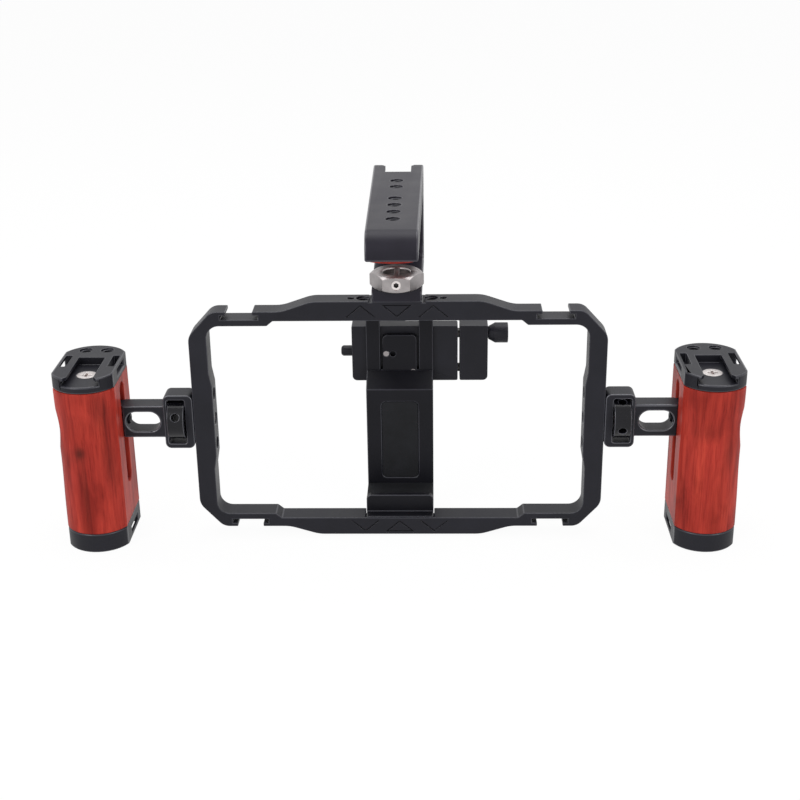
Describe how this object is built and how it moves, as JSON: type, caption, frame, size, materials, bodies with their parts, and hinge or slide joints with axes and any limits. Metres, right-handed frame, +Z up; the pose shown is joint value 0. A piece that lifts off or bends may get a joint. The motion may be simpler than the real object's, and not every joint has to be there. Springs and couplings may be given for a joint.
{
  "type": "phone cage",
  "caption": "Hand-held phone cage: a milled ring frame with a phone clamp, a C-shaped top handle with a hand wheel, and wooden side grips on swivelling arms.",
  "frame": {"origin": "on the ground, under the middle of the whole part, in the plane of the ring's front face", "axes": "+X to the user's right, +Y away from the user, +Z up"},
  "size_m": [0.3402, 0.136, 0.1797],
  "materials": {
    "black_anodised": "black anodised, fine satin",
    "dark_anodised": "dark grey anodised, fine satin",
    "steel": "polished steel",
    "rubber": "matt",
    "lacquered_wood": "red hardwood, glossy lacquer"
  },
  "bodies": {
    "cage": {"cage_frame": "black_anodised", "clamp_body": "black_anodised", "back_pad": "rubber", "lower_jaw_pad": "rubber", "foot_screws": "steel", "clamp_spine": "dark_anodised", "rail_cover": "dark_anodised", "cover_screws": "steel", "block_screws": "steel", "release_block": "black_anodised", "guide_pin": "steel", "top_handle": "dark_anodised", "handle_wood": "lacquered_wood", "liner_screws": "steel", "stop_spring": "steel"},
    "upper_jaw": {"upper_jaw": "dark_anodised", "upper_jaw_pad": "rubber"},
    "moving_jaw": {"moving_jaw": "black_anodised"},
    "clamp_knob": {"clamp_knob": "dark_anodised", "clamp_screw": "steel"},
    "stop_pin": {"stop_pin": "dark_anodised"},
    "hand_wheel": {"hand_wheel": "steel", "hand_wheel_screw": "steel"},
    "left_arm": {"left_arm": "black_anodised", "left_slide_nut": "steel", "left_slide_screw": "steel"},
    "left_thumb_wheel": {"left_thumb_wheel": "dark_anodised", "left_thumb_screw": "steel"},
    "left_grip": {"left_wood_grip": "lacquered_wood", "left_top_cap": "black_anodised", "left_bottom_cap": "black_anodised", "left_tie_bolt": "steel"},
    "right_arm": {"right_arm": "black_anodised", "right_slide_nut": "steel", "right_slide_screw": "steel"},
    "right_thumb_wheel": {"right_thumb_wheel": "dark_anodised", "right_thumb_screw": "steel"},
    "right_grip": {"right_wood_grip": "lacquered_wood", "right_top_cap": "black_anodised", "right_bottom_cap": "black_anodised", "right_tie_bolt": "steel"}
  },
  "joints": [
    {"name": "upper_jaw_slide", "type": "slide", "parent": "cage", "child": "upper_jaw", "axis": [0, 0, 1], "range_m": [-0.034, 0]},
    {"name": "moving_jaw_slide", "type": "slide", "parent": "cage", "child": "moving_jaw", "axis": [1, 0, 0], "range_m": [0, 0.006]},
    {"name": "clamp_knob_turn", "type": "hinge", "parent": "moving_jaw", "child": "clamp_knob", "pos_m": [0.046, 0.0444, 0.0956], "axis": [1, 0, 0], "range_deg": [0, 2701]},
    {"name": "stop_pin_press", "type": "slide", "parent": "cage", "child": "stop_pin", "axis": [1, 0, 0], "range_m": [0, 0.003], "stiffness_N_per_m": 400, "springref_m": -0.002, "deforming": ["stop_spring"]},
    {"name": "hand_wheel_turn", "type": "hinge", "parent": "cage", "child": "hand_wheel", "pos_m": [0, 0.00575, 0.1373], "axis": [0, 0, 1], "continuous": true},
    {"name": "left_swivel", "type": "hinge", "parent": "cage", "child": "left_arm", "pos_m": [-0.1032, 0.00575, 0.064], "axis": [1, 0, 0], "continuous": true},
    {"name": "left_thumb_wheel_turn", "type": "hinge", "parent": "left_arm", "child": "left_thumb_wheel", "pos_m": [-0.112, 0.00575, 0.064], "axis": [1, 0, 0], "continuous": true},
    {"name": "left_grip_slide", "type": "slide", "parent": "left_arm", "child": "left_grip", "axis": [0, 0, 1], "range_m": [-0.006, 0.02]},
    {"name": "right_swivel", "type": "hinge", "parent": "cage", "child": "right_arm", "pos_m": [0.1032, 0.00575, 0.064], "axis": [1, 0, 0], "continuous": true},
    {"name": "right_thumb_wheel_turn", "type": "hinge", "parent": "right_arm", "child": "right_thumb_wheel", "pos_m": [0.112, 0.00575, 0.064], "axis": [1, 0, 0], "continuous": true},
    {"name": "right_grip_slide", "type": "slide", "parent": "right_arm", "child": "right_grip", "axis": [0, 0, 1], "range_m": [-0.006, 0.02]}
  ],
  "couplings": [
    {"joint": "clamp_knob_turn", "follows": "moving_jaw_slide", "rad_per_m": 7854}
  ]
}
